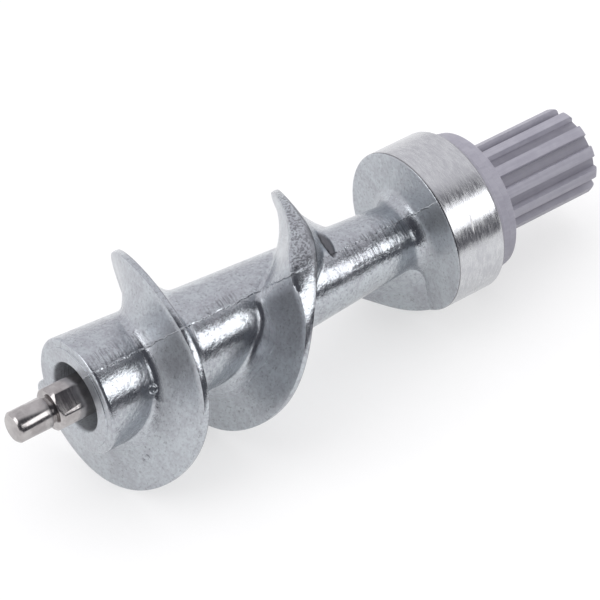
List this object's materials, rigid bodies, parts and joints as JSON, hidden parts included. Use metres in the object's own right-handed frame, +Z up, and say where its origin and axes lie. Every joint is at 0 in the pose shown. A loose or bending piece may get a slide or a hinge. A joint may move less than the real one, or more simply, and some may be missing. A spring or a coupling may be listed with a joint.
{
  "type": "meat grinder auger",
  "caption": "Meat grinder feed screw: die-cast aluminium core and tapering flight, steel knife spindle with a square drive, and a grey ribbed plastic drive coupling.",
  "frame": {"origin": "on the screw's axis, midway along the turned collar", "axes": "+X runs along the axis towards the drive coupling, so the knife spindle points to -X; +Z is up as the screw lies at rest"},
  "size_m": [0.1728, 0.0548, 0.0566],
  "materials": {
    "cast_aluminium": "satin as cast, collar turned",
    "turned_steel": "turned and milled",
    "grey_plastic": "matte moulded",
    "plated_steel": "zinc plated"
  },
  "bodies": {
    "root": {"cast_screw": "cast_aluminium", "knife_spindle": "turned_steel", "drive_coupling": "grey_plastic", "coupling_screw": "plated_steel"}
  },
  "joints": []
}
